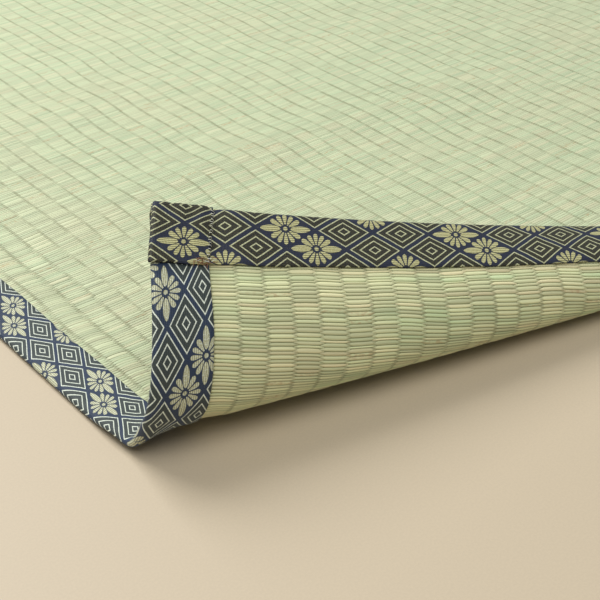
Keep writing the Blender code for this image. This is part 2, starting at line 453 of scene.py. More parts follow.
def add_piece(name, places, faces, materials, maps, face_material=None, closed=True):
    """An object from flat places: it is bent into place, and each map becomes a UV layer."""
    data = bpy.data.meshes.new(name)
    data.from_pydata(bent_places(places), [], faces)
    corners = np.zeros(len(data.loops), np.int32)
    data.loops.foreach_get("vertex_index", corners)
    for layer_name, values in maps.items():
        layer = data.uv_layers.new(name=layer_name)
        values = values[corners] if len(values) == len(places) else values
        layer.uv.foreach_set("vector", np.ascontiguousarray(values, np.float32).ravel())
    for material in materials:
        data.materials.append(material)
    if face_material is not None:
        data.polygons.foreach_set("material_index", face_material)
    if closed:
        mesh = bmesh.new()
        mesh.from_mesh(data)
        bmesh.ops.recalc_face_normals(mesh, faces=mesh.faces)
        mesh.to_mesh(data)
        mesh.free()
    data.shade_smooth()
    data.update()
    piece = bpy.data.objects.new(name, data)
    bpy.context.scene.collection.objects.link(piece)
    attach(piece, "root")
    return piece


def reckoning(operation, turned=False):
    """A method that adds a math node; turned puts the value itself last."""
    def reckon(self, *others):
        return self.graph.math(operation, *((*others, self) if turned else (self, *others)))
    return reckon


class Value:
    """A node's output to reckon with: each operation adds a math node to its graph."""

    def __init__(self, graph, socket):
        self.graph = graph
        self.socket = socket

    __add__ = reckoning("ADD")
    __radd__ = reckoning("ADD", turned=True)
    __sub__ = reckoning("SUBTRACT")
    __rsub__ = reckoning("SUBTRACT", turned=True)
    __mul__ = reckoning("MULTIPLY")
    __truediv__ = reckoning("DIVIDE")
    __pow__ = reckoning("POWER")
    __abs__ = reckoning("ABSOLUTE")
    __floor__ = reckoning("FLOOR")


class Graph:
    """Short ways to add shader nodes to one tree. A value is a number or a Value, a place three of them."""

    def __init__(self, tree):
        self.tree = tree

    def node(self, kind, **settings):
        made = self.tree.nodes.new(kind)
        for name, value in settings.items():
            setattr(made, name, value)
        return made

    def feed(self, made, values):
        """Give a node's inputs their values, by name from a dict or else in order."""
        for key, value in values.items() if isinstance(values, dict) else enumerate(values):
            if isinstance(value, Value):
                self.tree.links.new(value.socket, made.inputs[key])
            else:
                made.inputs[key].default_value = value

    def fed(self, made, values=(), output=0):
        """One of a node's outputs, once its inputs have their values."""
        self.feed(made, values)
        return Value(self, made.outputs[output])

    def math(self, operation, *values, clamp=False):
        return self.fed(self.node("ShaderNodeMath", operation=operation, use_clamp=clamp), values)

    def ramp(self, value, start, end, low=0.0, high=1.0):
        """Value taken smoothly from the range start to end onto low to high, held at both ends."""
        made = self.node("ShaderNodeMapRange", interpolation_type="SMOOTHSTEP")
        return self.fed(made, (value, start, end, low, high))

    def place(self, x, y, z=0.0):
        return self.fed(self.node("ShaderNodeCombineXYZ"), (x, y, z))

    def parts(self, place):
        """The first two values of a place."""
        made = self.node("ShaderNodeSeparateXYZ")
        return self.fed(made, (place,)), self.fed(made, output=1)

    def noise(self, place, detail=2.0, roughness=0.5, scale=1.0):
        place = self.place(*place) if isinstance(place, tuple) else place
        values = {"Vector": place, "Scale": scale, "Detail": detail, "Roughness": roughness}
        return self.fed(self.node("ShaderNodeTexNoise"), values, "Fac")

    def chance(self, *place):
        """A number from 0 to 1 that jumps from cell to cell."""
        made = self.node("ShaderNodeTexWhiteNoise", noise_dimensions="3D")
        return self.fed(made, {"Vector": self.place(*place)}, "Value")

    def mix(self, share, first, second, blend="MIX"):
        made = self.node("ShaderNodeMix", data_type="RGBA", blend_type=blend)
        return self.fed(made, {"Factor": share, "A": first, "B": second}, "Result")

    def shaded(self, shown, shade):
        """A colour made lighter or darker by a value."""
        return self.mix(1.0, shown, self.place(shade, shade, shade), "MULTIPLY")

    def uv(self, name):
        """The two values of a UV layer."""
        return self.parts(self.fed(self.node("ShaderNodeUVMap", uv_map=name)))

    def object_place(self):
        return self.fed(self.node("ShaderNodeTexCoord"), output="Object")

    def bump(self, height, distance, strength):
        values = {"Height": height, "Distance": distance, "Strength": strength}
        return self.fed(self.node("ShaderNodeBump"), values, "Normal")

    def group(self, tree, values):
        """The outputs of a group placed in this tree, by name."""
        made = self.node("ShaderNodeGroup", node_tree=tree)
        self.feed(made, values)
        return {socket.name: Value(self, socket) for socket in made.outputs}


def new_group(name, inputs):
    """A shader node group with float inputs: its graph and the values that it is given, by name."""
    g = Graph(bpy.data.node_groups.new(name, "ShaderNodeTree"))
    for label, value in inputs.items():
        socket = g.tree.interface.new_socket(label, in_out="INPUT", socket_type="NodeSocketFloat")
        socket.default_value = value
    source = g.node("NodeGroupInput")
    return g, {label: g.fed(source, output=label) for label in inputs}


def finished_group(g, outputs):
    """The group, once it has its outputs, by name."""
    for label in outputs:
        g.tree.interface.new_socket(label, in_out="OUTPUT", socket_type="NodeSocketFloat")
    g.feed(g.node("NodeGroupOutput"), outputs)
    return g.tree


def new_material(name):
    """A material of that name, its graph and its Principled shader."""
    material = bpy.data.materials.new(name)
    material.use_nodes = True
    return material, Graph(material.node_tree), material.node_tree.nodes["Principled BSDF"]


def weave_group():
    """Where a place lies in the weave: relief, where shade is painted between stems and at their ends, and
    what varies from stem to stem.
    """
    if "Rush weave" in bpy.data.node_groups:
        return bpy.data.node_groups["Rush weave"]
    g, given = new_group("Rush weave", {
        "Across": 0.0, "Along": 0.0, "First": FIRST_COLUMN_TOP, "Column": COLUMN_TOP, "Stem": STEM_PITCH,
        "Uneven": 0.0})
    across, along = given["Across"], given["Along"]

    # x runs from 0 to 1 over a column and y over a stem, half a stem further on in every second column
    x = (across - given["First"]) / given["Column"]
    column = math.floor(x)
    x = x - column
    odd = g.math("FRACT", column * 0.5) * 2.0
    stray = g.noise((column * 3.1, along * 260.0), 1.0)
    y = along / given["Stem"] + odd * 0.5
    y = y + given["Uneven"] * (stray - 0.5)
    bar = math.floor(y)
    y = y - bar
    stem = bar * 2.0 - odd

    side = abs(y * 2.0 - 1.0)
    end = g.math("MINIMUM", x, 1.0 - x)
    body = g.ramp(end, 0.0, 0.10)
    ridge = 1.0 - side ** 2.6

    # Painted shade in the gaps, stronger in some and weaker in others, and in the valleys between columns
    # as broken dashes
    gap_variety = g.noise((across * 50.0, stem * 0.83, 4.43), 1.0)
    border = math.floor(column + x + 0.5)
    dashes = g.noise((border * 5.3, along * 90.0, 2.4), 3.0)
    dashes = g.ramp(dashes, 0.36, 0.64, 0.42, 1.0) * g.ramp(side, 0.1, 0.9, 0.75, 1.15)

    # Each stem's own tint, each bar's, the fine lines along a stem and a few brown flecks
    slow = g.noise((stem * 0.31, across * 7.0))
    spots = g.noise((across * 330.0, along * 900.0, stem), 1.0)
    rare = g.ramp(g.chance(column, stem, 2.3), 0.965, 0.985)
    return finished_group(g, {
        "Relief": ridge * body + (1.0 - body) * 0.45,
        "Gap": g.ramp(side, 0.68, 1.0) * g.ramp(end, 0.02, 0.24, 1.0, 0.7),
        "Gap Variety": g.ramp(gap_variety, 0.45, 0.68, 0.12, 1.0),
        "End": g.ramp(end, 0.0, 0.115, 1.0, 0.0) * dashes,
        "Stem Tint": g.chance(stem, 3.7) * 0.42 + slow * 0.58,
        "Bar Tint": g.chance(column, bar, 9.1),
        "Streak": g.noise((across * 40.0, along * 2600.0), 3.0, 0.6),
        "Fleck": g.ramp(spots, 0.42, 0.66) * rare,
    })


def rush_material(name, column, first, look):
    """Dried rush: green to straw stems with fine lines along them, and shade painted where two stems meet.

    look is one of the finishes above. Its values are shares from 0 to 1."""
    material, g, shader = new_material(name)
    across, along = g.uv("flat")
    weave = g.group(weave_group(), {
        "Across": across, "Along": along, "First": first, "Column": column, "Stem": STEM_PITCH,
        "Uneven": look["uneven"]})
    palette = colours()
    straw, gap_shade = rgba(palette.straw_rush), rgba(palette.gap_shade)
    tint, bar_tint, streak, gap_variety = weave["Stem Tint"], weave["Bar Tint"], weave["Streak"], look["gap_variety"]

    # Stems by their tint, then straw patches, more of them near the turned-up corner, and the upper side's
    # paler tone,
    #     partly bleaching and partly painted light
    shown = g.mix(g.ramp(tint, 0.26, 0.48), rgba(palette.green_rush), rgba(palette.pale_rush))
    shown = g.mix(g.ramp(tint, 0.58, 0.74), shown, straw)
    corner = 1.0 - g.ramp(across + along * CORNER_SLOPE, CORNER_NEAR, CORNER_NEAR + CORNER_FADE)
    patch = g.noise((across * 16.0, along * 10.0))
    shown = g.mix(g.ramp(patch + corner * 0.20, 0.45, 0.80, 0.0, 0.50), shown, straw)
    shown = g.mix(look["bleach_and_light"], shown, rgba(palette.bleach_and_light_top))

    # Light and dark bars and streaks
    # On the modelled stems the painted lightness ramps down towards the border to meet the panel's
    shade = look["shade"]
    if "border_shade" in look:
        reach = sizes().near_reach
        shade = g.ramp(along + across * NEAR_SLANT, reach - NEAR_SINK, reach, shade, look["border_shade"])
    light = shade + (bar_tint - 0.5) * (look["variety"] + corner * (0.12 * gap_variety))
    shown = g.shaded(shown, light * (0.85 + streak * 0.30))
    shown = g.mix(weave["Fleck"] * FLECK_SHARE, shown, FLECK)

    # Painted shade between stems, darker in some of them near the corner, and in the valleys at a stem's
    # ends
    darker_near_corner = corner * g.ramp(bar_tint, 0.30, 0.22) * (0.7 * gap_variety)
    gap = weave["Gap"] * ((1.0 - gap_variety) + weave["Gap Variety"] * gap_variety + darker_near_corner)
    shown = g.mix(gap * (look["gap"] + corner * 0.30), shown, gap_shade)
    shown = g.mix(weave["End"] * look["end"], shown, gap_shade)
    height = streak * 0.14 + weave["Relief"] * (0.6 * look["uneven"])
    g.feed(shader, {
        "Base Color": shown, "Roughness": 0.48 + streak * 0.18, "Specular IOR Level": 0.40,
        "Normal": g.bump(height, STEM_RISE_TOP, 0.85)})
    return material


def shade_under_stems_material():
    """Painted shade under the stems of the turned-up underside: a dark sheet with faint lines, seen between
    them.
    """
    material, g, shader = new_material("rush_painted_shade_under_stems")
    across, along = g.uv("flat")
    lines = g.noise((across * 45.0, along * 1500.0))
    palette = colours()
    shown = g.mix(lines, rgba(palette.gap_shade), rgba(palette.pale_rush, 0.7))
    g.feed(shader, {"Base Color": shown, "Roughness": 0.7, "Normal": g.bump(lines, 0.0003, 0.6)})
    return material


def brocade_group():
    """The tape's woven figure, from places measured in cells: a lattice of diamonds with paired flowers."""
    if "Brocade" in bpy.data.node_groups:
        return bpy.data.node_groups["Brocade"]
    g, given = new_group("Brocade", {"Lengthwise": 0.0, "Crosswise": 0.0})
    s, t = given["Lengthwise"], given["Crosswise"]

    # p and q run along the lattice's two slanting directions, from -0.5 to 0.5 in each diamond
    p, q = s + t, s - t
    p_cell, q_cell = math.floor(p + 0.5), math.floor(q + 0.5)
    p, q = p - p_cell, q - q_cell
    out_from = g.math("MAXIMUM", abs(p), abs(q)) * 2.0

    # Which diamonds hold a flower: every third of a row, shifted from row to row so that they lie in pairs
    row = g.math("FLOORED_MODULO", p_cell - q_cell, 4.0)
    late = g.math("GREATER_THAN", row, 1.5) - g.math("GREATER_THAN", row, 2.5)
    phase = g.math("FLOORED_MODULO", (p_cell + q_cell) - (row + late * 2.0), 6.0)
    flower = g.math("LESS_THAN", phase, 0.5)
    plain = 1.0 - flower

    line = 0.0
    for centre in DIAMOND_LINES:
        line = g.math("MAXIMUM", line, g.ramp(abs(out_from - centre), 0.024, 0.046, 1.0, 0.0))

    def within(off, width):
        return g.ramp(off / g.math("MAXIMUM", width, 0.00001), 0.86, 1.12, 1.0, 0.0)

    # The flower in metres from its heart: pointed petals lengthwise, rounded ones between
    x, y = abs(p + q) * (CELL[0] / 2), abs(p - q) * (CELL[1] / 2)
    start, end, half_width = LONG_PETAL
    share = g.math("DIVIDE", x - start, end - start, clamp=True)
    petal = within(y, share ** 0.55 * (1.0 - share) ** 0.62 * (2.24 * half_width))
    for turn, start, end, widening in PETALS:
        c, n = math.cos(math.radians(turn)), math.sin(math.radians(turn))
        u = x * c + y * n
        share = g.math("DIVIDE", u - start, end - start, clamp=True)
        tip = g.math("SQRT", 1.0 - share ** 4.0)
        width = (u * widening - 0.00018) * tip * g.math("GREATER_THAN", share, 0.001)
        petal = g.math("MAXIMUM", petal, within(abs(y * c - x * n), width))
    heart = g.ramp(g.math("SQRT", x * x + y * y), *HEART, 1.0, 0.0)
    return finished_group(g, {
        "Line": line * plain,
        "Petal": g.math("MAXIMUM", petal, heart) * flower,
        "Diamond": g.ramp(out_from, 0.835, 0.87, 1.0, 0.0) * plain,
        "Thread": g.math("SINE", s * (2 * math.pi * THREADS_IN_CELL)),
        "Rib": g.math("SINE", t * (2 * math.pi * RIBS_IN_CELL)),
    })


def tape_material(name, painted_sheen_share, painted_sheen_from=None):
    """Woven tape: navy ground with cream lines and straw petals that float along it, and a fine rib.

    Its colours are made lighter and cooler by a share of painted sheen, which stands for window light
    glancing off the long tapes. Given a place across the carpet, the tape keeps its own colour up to there
    and takes the painted sheen beyond it."""
    material, g, shader = new_material(name)
    s, t = g.uv("pattern")
    figure = g.group(brocade_group(), {"Lengthwise": s, "Crosswise": t})
    palette = colours()
    navy, olive, diamond = palette.navy, palette.olive, figure["Diamond"]
    # How much painted sheen lies here: all of it on the long tapes, and on the front tape only past the
    # turned-up stretch
    painted_sheen_here = painted_sheen_share
    if painted_sheen_from is not None:
        painted_sheen_here = g.ramp(g.parts(g.object_place())[0], painted_sheen_from, painted_sheen_from + PAINTED_SHEEN_FADE)

    # Ground: navy with dark threads mixed in, more of them inside the diamonds
    pepper = g.noise((s * 80.0, t * 55.0), 1.0)
    mixed = g.mix(g.ramp(pepper, 0.42, 0.60), rgba(navy, 0.55), rgba(olive, 1.15))
    plain = g.mix(g.ramp(pepper, 0.46, 0.64, 0.0, 0.7), rgba(navy, 1.35), rgba(olive, 0.75))
    # The painted sheen makes the ground lighter and bluer
    painted_sheen_ground = g.mix(diamond, rgba(palette.painted_sheen_ground), rgba(palette.painted_sheen_diamond))
    ground = g.mix(painted_sheen_here * 0.38, g.mix(diamond, plain, mixed), painted_sheen_ground)

    # Lines, then petals whose threads float over the ribs
    uneven = g.noise((s * 42.0, t * 26.0))
    # and makes the lines and petals paler and cooler
    cream = g.mix(painted_sheen_here * 0.75, rgba(palette.cream), rgba(palette.painted_sheen_cream))
    shown = g.mix(figure["Line"], ground, g.shaded(cream, g.ramp(uneven, 0.3, 0.7, 0.70, 1.12)))
    floats = g.ramp(
        figure["Rib"] + (uneven - 0.5) * 2.4, -0.7, 0.5, 0.40 + 0.08 * painted_sheen_share, 1.04 - 0.08 * painted_sheen_share)
    petal_share = g.ramp(uneven, 0.42, 0.68, painted_sheen_here * 0.28, painted_sheen_here * 0.2 + 0.6)
    petal = g.shaded(g.mix(petal_share, rgba(palette.petal), cream), floats)
    raised = figure["Line"] * 0.8 + figure["Petal"]
    fine = figure["Rib"] * 0.16 + figure["Thread"] * 0.14
    g.feed(shader, {
        "Base Color": g.mix(figure["Petal"], shown, petal), "Roughness": 0.55,
        "Specular IOR Level": 0.22 + 0.10 * painted_sheen_share, "Sheen Weight": 0.04 + 0.05 * painted_sheen_share,
        "Sheen Tint": SHEEN_TINT, "Normal": g.bump(raised + fine, 0.00022, 0.8)})
    return material


def thread_material():
    """Sewing thread and loose fibres, pale or reddish brown from one to the next."""
    material, g, shader = new_material("loose_thread")
    kind, place = g.uv("thread")
    twist = g.math("SINE", place * 9000.0)
    palette = colours()
    shown = g.mix(g.ramp(kind, 0.45, 0.55), rgba(palette.thread), rgba(palette.frayed))
    shown = g.shaded(shown, g.ramp(twist, -1.0, 1.0, 0.78, 1.05))
    g.feed(shader, {"Base Color": shown, "Roughness": 0.65, "Normal": g.bump(twist, 0.00006, 0.7)})
    return material


def floor_material():
    """The plain pale floor, with a grain too fine to see from afar."""
    material, g, shader = new_material("plain_floor")
    grain = g.noise(g.object_place(), scale=900.0)
    shown = g.shaded(rgba(colours().floor), g.ramp(grain, 0.3, 0.7, 0.97, 1.01))
    g.feed(shader, {"Base Color": shown, "Roughness": 0.55})
    return material


def grid_faces(rows, columns):
    """Four-cornered faces of a grid whose points run column by column within each row."""
    corner = np.arange(rows * columns).reshape(rows, columns)
    return np.stack((corner[:-1, :-1], corner[1:, :-1], corner[1:, 1:], corner[:-1, 1:]), -1).reshape(-1, 4)


def rim_faces(rows, columns):
    """Faces that join the rims of a grid and of its copy, whose points follow it."""
    corner = np.arange(rows * columns).reshape(rows, columns)
    loop = np.concatenate((corner[0, :-1], corner[:-1, -1], corner[-1, :0:-1], corner[:0:-1, 0]))
    after = np.roll(loop, -1)
    count = rows * columns
    return np.stack((loop, after, after + count, loop + count), 1)


def sheet_faces(rows, columns):
    """Faces of a closed sheet: a grid, its copy turned over, and the rim between them."""
    faces = grid_faces(rows, columns)
    return np.concatenate((faces, faces[:, ::-1] + rows * columns, rim_faces(rows, columns)))


def lines_between(points, steps):
    """Places from point to point, each stretch cut in its own steps."""
    places = [np.linspace(a, b, n, endpoint=False) for a, b, n in zip(points, points[1:], steps)]
    return np.concatenate(places + [[points[-1]]])


def panel_lines(full, changes):
    """Places of the panel's grid between the folds of the tapes."""
    middle, steps = changes
    edge = TAPE_THICKNESS + 2 * GAP
    return lines_between((edge, *middle, full - edge), steps)


def past_border(across, along):
    """How far a place of the upper side lies past the border of the single stems."""
    return along + NEAR_SLANT * across - sizes().near_reach


def near_part(across, along):
    """How much a place of the upper side lies among the single stems: 1 near the corner, then 0."""
    return 1 - smooth_step(past_border(across, along) / NEAR_FADE)


class CARPET_OT_rush_panel(bpy.types.Operator):
    """Make the woven panel: a thin sheet with the weave's relief in its finish"""

    bl_idname = "carpet.rush_panel"
    bl_label = "Rush panel"

    def execute(self, context):
        across, along = panel_lines(WIDTH, PANEL_ACROSS), panel_lines(LENGTH, PANEL_ALONG)
        u, v = np.meshgrid(across, along, indexing="ij")
        top = np.stack((u.ravel(), v.ravel(), np.full(u.size, BASE_HALF)), 1)
        under = top.copy()
        under[:, 2] = -BASE_HALF
        lowered = near_part(top[:, 0], top[:, 1]) > FULLY_NEAR
        top[lowered, 2] -= np.where(top[lowered, 0] < EDGE_PART, EDGE_DROP, TOP_DROP)
        places = np.concatenate((top, under))
        faces = sheet_faces(len(across), len(along))
        middle = places[faces].mean(1)
        # Faces under the modelled stems of the turned-up underside take the painted shade
        covered = (middle[:, 2] < 0) & (into_bend(middle[:, 0], middle[:, 1]) > UNDER_COVERED_FROM)
        flat = places[:, :2].copy()
        flat[:, 0] -= wander(flat[:, 0], flat[:, 1])
        piece = add_piece(
            "rush_panel_weave", places, faces.tolist(),
            (rush_material("woven_rush", COLUMN_TOP, FIRST_COLUMN_TOP, RUSH_TOP), shade_under_stems_material()),
            {"flat": flat}, covered.astype(np.int32))
        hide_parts("rush_panel")
        return {"FINISHED"}


def stem_stretches(across_range, along_range, column, first, seed):
    """All stretches of stem that show in a flat region, every second column half a stem further along.

    Each row is the column's middle, the stretch's ideal middle, and its own low and high sides: the stems
    aren't all as thick, so each takes more or less of the room."""
    c, k = (
        np.arange(math.floor((start - origin) / pitch), math.ceil((end - origin) / pitch))
        for (start, end), origin, pitch in ((across_range, first, column), (along_range, 0.0, STEM_PITCH)))
    draw = np.random.default_rng(seed)
    between = draw.normal(0.0, SHARED_STRAY, 2 * len(k) + 4)[None, :]
    own = draw.normal(0.0, OWN_STRAY, (len(c), len(k) + 1))
    odd = (c % 2)[:, None]
    place = np.arange(len(k) + 1)[None, :]
    side = np.take_along_axis(np.repeat(between, len(c), 0), 2 * place + odd, 1) + own
    side = (k[0] + place - 0.5 * odd + np.clip(side, -MOST_STRAY, MOST_STRAY)) * STEM_PITCH
    shape = (len(c), len(k))
    u = np.broadcast_to(first + (c[:, None] + 0.5) * column, shape)
    v = np.broadcast_to((k[None, :] + 0.5 - 0.5 * odd) * STEM_PITCH, shape)
    return np.stack((u.ravel(), v.ravel(), side[:, :-1].ravel(), side[:, 1:].ravel()), 1)


def stem_mesh(name, stretches, column, up, rise, sections, ring, material, seed):
    """Stretches of stem, each from one valley of the weave to the next, as one joined mesh.

    A section is its place as a share of the column's width, how far it has spread from the valley, and its
    height; ring is the section's outline."""
    draw = np.random.default_rng(seed)
    count = len(stretches)
    each = (count, 1, 1)
    share, spread, crest = (np.array(values)[None, :, None] for values in zip(*sections))
    side, lift = (np.array(values)[None, None, :] for values in zip(*ring))
    middle, ideal, low, high = (stretches[:, k, None, None] for k in range(4))
    shape = (count, share.size, side.size)
    wide = (high - low) / 2 * (sizes().stem_width * draw.uniform(*FILL_RANGE, each))
    narrow = STEM_PITCH * VALLEY_HALF
    half = narrow + (wide - narrow) * spread
    valley = ideal + STEM_PITCH * draw.normal(0.0, VALLEY_STRAY, each)
    v = np.broadcast_to(valley + ((low + high) / 2 - valley) * spread + side * half, shape)
    start = column * draw.normal(0.0, START_STRAY, each)
    u = np.broadcast_to(middle + start + (share - 0.5) * column, shape)
    fade = 1.0
    if up > 0:
        fade = 1 - (1 - LAST_RISE) * smooth_step(1 + past_border(middle, ideal) / NEAR_SINK)
        from_corner = middle + ideal * CORNER_SLOPE - CORNER_NEAR
        fade = fade + CORNER_RISE * (1 - smooth_step(from_corner / CORNER_FADE))
    grown = rise * draw.uniform(*RISE_RANGE, each) * fade
    height = np.broadcast_to(up * (BASE_HALF - VALLEY + lift * (grown * crest + VALLEY)), shape)
    places = np.stack(((u + wander(u, v)).ravel(), (v + weave_wobble(u, v)).ravel(), height.ravel()), 1)
    ideal_u = np.clip(u, middle - column * INSIDE_COLUMN, middle + column * INSIDE_COLUMN)
    ideal_v = np.broadcast_to(ideal + side * STEM_PITCH * INSIDE_STEM, shape)
    one = grid_faces(share.size, side.size)
    one = one if up > 0 else one[:, ::-1]
    faces = (one[None, :, :] + (np.arange(count) * share.size * side.size)[:, None, None]).reshape(-1, 4)
    flat = np.stack((ideal_u.ravel(), ideal_v.ravel()), 1)
    piece = add_piece(name, places, faces.tolist(), (material,), {"flat": flat}, closed=False)


class CARPET_OT_rush_stems(bpy.types.Operator):
    """Lay the single rush stems over the panel, on the turned-up underside and near the corner on top"""

    bl_idname = "carpet.rush_stems"
    bl_label = "Rush stems"

    def execute(self, context):
        under = stem_stretches(*UNDER_REGION, COLUMN_UNDER, FIRST_COLUMN_UNDER, 5)
        under = under[into_bend(under[:, 0], under[:, 1]) > UNDER_STEMS_FROM]
        material = rush_material("rush_stems_under", COLUMN_UNDER, FIRST_COLUMN_UNDER, STEMS_UNDER)
        stem_mesh("rush_stems_under", under, COLUMN_UNDER, -1.0, sizes().stem_rise_under,
                  UNDER_SECTIONS, UNDER_RING, material, 15)
        reach = sizes().near_reach + NEAR_FADE
        region = ((TOP_START[0], reach / NEAR_SLANT), (TOP_START[1], reach))
        top = stem_stretches(*region, COLUMN_TOP, FIRST_COLUMN_TOP, 6)
        across = top[:, 0]
        top = top[(near_part(across, top[:, 1]) > 0.5) & (across < WIDTH - TOP_MARGIN)]
        material = rush_material("rush_stems_top", COLUMN_TOP, FIRST_COLUMN_TOP, STEMS_TOP)
        edge, left = top[:, 0] < EDGE_PART, top[:, 0] < LEFT_PART
        for part, among, sections in (
            ("edge", edge, EDGE_SECTIONS),
            ("left", left & ~edge, TOP_SECTIONS),
            ("right", ~left, TOP_SECTIONS),
        ):
            stem_mesh("rush_stems_top_" + part, top[among], COLUMN_TOP, 1.0, sizes().stem_rise_top,
                      sections, TOP_RING, material, 16)
        return {"FINISHED"}


def tape_section():
    """The tape's closed section, folded round an edge.

    Rows: distance, height, bulge, the path counted on from the lower leg and how much of the bulge it takes
    in, the same from the upper leg, and the kind: 0 on the lower leg, 1 on the fold, 2 on top."""
    centre = FOLD_INSET + LEG_HEIGHT
    round_fold = 2 * centre - math.pi * LEG_HEIGHT
    low, high = -LEG_HEIGHT, LEG_HEIGHT
    spine = []
    for distance in np.linspace(TAPE_UNDER_WIDTH - TAPE_HALF, centre, LEG_STEPS[0]):
        spine.append((distance, low, 0.0, -1.0, distance, 0.0, round_fold - distance, 2.0, 0))
    for k in range(1, ARC_STEPS):
        a = math.pi * k / ARC_STEPS
        out, up = -math.sin(a), -math.cos(a)
        below, above = (math.sin(a), 2 - math.sin(a))[::1 if up < 0 else -1]
        spine.append((centre + high * out, high * up, out, up, centre - high * a, below,
                      centre - high * (math.pi - a), above, 1))
    for distance in np.linspace(centre, TAPE_TOP_WIDTH - TAPE_HALF, LEG_STEPS[1]):
        spine.append((distance, high, 0.0, 1.0, round_fold - distance, 2.0, distance, 0.0, 2))
    outer = [(d + n * TAPE_HALF, h + m * TAPE_HALF, -n, *rest) for d, h, n, m, *rest in spine]
    inner = [(d - n * TAPE_HALF, h - m * TAPE_HALF, -n, *rest) for d, h, n, m, *rest in spine]
    last = (TAPE_TOP_WIDTH, high, 0.0, round_fold - TAPE_TOP_WIDTH, 2.0, TAPE_TOP_WIDTH, 0.0, 2)
    first = (TAPE_UNDER_WIDTH, low, 0.0, TAPE_UNDER_WIDTH, 0.0, round_fold - TAPE_UNDER_WIDTH, 2.0, 0)
    return np.array(outer + [last] + inner[::-1] + [first]).T


def figure_places(edge, upper, station, path):
    """Places in the woven figure, in cells. Each tape was cut where the figure happened to be."""
    return np.stack([a * station + b * path + c for a, b, c in FIGURES[edge][int(upper)]], -1)


def fold_bulge(edge, station):
    """How far the fold stands out past its own thickness; less where the left edge is turned up."""
    first, *changes = BULGES[edge]
    bulge = np.full_like(station, first)
    for change, place, fade in changes:
        bulge = bulge + change * smooth_step((station - place) / fade)
    return bulge


def folded_tape(name, edge, shares, full, starts, material):
    """One tape folded round an edge. shares are its places from 0 to 1 along the edge, and starts are how
    far from the corner its lower leg, fold and upper leg begin, the same at both ends."""
    distance, height, outward, low_path, low_share, top_path, top_share, kind = tape_section()
    rows, columns = len(shares), len(distance)
    start = np.array(starts)[kind.astype(int)]
    station = start[None, :] + shares[:, None] * (full - 2 * start)[None, :]
    bulge = fold_bulge(edge, station)
    d = distance[None, :] - outward[None, :] * bulge
    h = np.broadcast_to(height, station.shape)
    away = np.sign(h) * np.clip((d - 0.001) / 0.003, 0, 1)
    puckers = ripple(station, d, PUCKERS, 21) + ripple(station, d * 2, FINE_PUCKERS, 22)
    d = d + ripple(station, 0 * station, EDGE_WAVES, 23) * np.clip((d - 0.012) / 0.01, 0, 1)
    if edge in ("left", "right"):
        across, along = (d if edge == "left" else WIDTH - d), station
    else:
        across, along = station, (d if edge == "front" else LENGTH - d)
    places = np.stack((across.ravel(), along.ravel(), (h + puckers * away).ravel()), 1)
    corner = np.arange(rows * columns).reshape(rows, columns)
    after = np.roll(corner, -1, axis=1)
    faces = np.stack((corner[:-1], corner[1:], after[1:], after[:-1]), -1).reshape(-1, 4)
    caps = [corner[0, ::-1].tolist(), corner[-1].tolist()]

    low_path, top_path = low_path - low_share * bulge, top_path - top_share * bulge
    low, top, place = (values.ravel()[faces] for values in (low_path, top_path, station))
    upper = top.mean(1) > CHANGE_AT[edge]
    if edge == "left":
        upper |= (top.mean(1) > LEFT_TURNED[0]) & (place.mean(1) > LEFT_TURNED[1])
    figure = np.where(
        upper[:, None, None], figure_places(edge, True, place, top), figure_places(edge, False, place, low))
    figure = np.concatenate((figure.reshape(-1, 2), np.zeros((2 * columns, 2))))
    piece = add_piece(name + "_brocade", places, faces.tolist() + caps, (material,), {"pattern": figure})
    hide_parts(name)


class CARPET_OT_long_tapes(bpy.types.Operator):
    """Fold the woven tapes over the two long edges"""

    bl_idname = "carpet.long_tapes"
    bl_label = "Long tapes"

    def execute(self, context):
        # The long tapes take the painted sheen of the window light all along
        material = tape_material("brocade_painted_sheen", 1.0)
        starts = (TAPE_UNDER_WIDTH + BUTT, TAPE_UNDER_WIDTH + BUTT, TAPE_TOP_WIDTH + BUTT)
        for edge, shares in (
            ("left", lines_between((0.0, 0.24, 1.0), (190, 80))),
            ("right", lines_between((0.0, 1.0), (150,))),
        ):
            folded_tape("long_tape_" + edge, edge, shares, LENGTH, starts, material)
        return {"FINISHED"}


class CARPET_OT_short_tapes(bpy.types.Operator):
    """Fold the woven tapes over the two short edges, and turn their ends back under the corners"""

    bl_idname = "carpet.short_tapes"
    bl_label = "Short tapes"

    def execute(self, context):
        # The front tape keeps its own colour on the turned-up stretch and takes the painted sheen past it;
        # the back tape has it all along
        sheen_past_flap = tape_material("brocade_painted_sheen_past_flap", 0.0, PAINTED_SHEEN_FROM)
        for edge, shares, material in (
            ("front", lines_between((0.0, 0.66, 1.0), (240, 50)), sheen_past_flap),
            ("back", lines_between((0.0, 1.0), (120,)), bpy.data.materials["brocade_painted_sheen"]),
        ):
            folded_tape("short_tape_" + edge, edge, shares, WIDTH, SHORT_TAPE_STARTS, material)
            for side in ("left", "right"):
                corner_tail(edge, side, material)
        return {"FINISHED"}


def corner_number(edge, side):
    """0 to 3, for seeds."""
    return 2 * ("front", "back").index(edge) + ("left", "right").index(side)


def at_corner(places, edge, side):
    """Places of the front left corner carried to another corner."""
    places = places.copy()
    if side == "right":
        places[:, 0] = WIDTH - places[:, 0]
    if edge == "back":
        places[:, 1] = LENGTH - places[:, 1]
    return places


def tail_edges(along):
    """Where the turned-back tail starts and ends across the corner: it was sewn down a little askew."""
    outer = 1 - np.clip(along / TAIL_LOW, 0, 1)
    return TAIL_START[0] + TAIL_START[1] * outer, TAIL_END[0] + TAIL_END[1] * outer


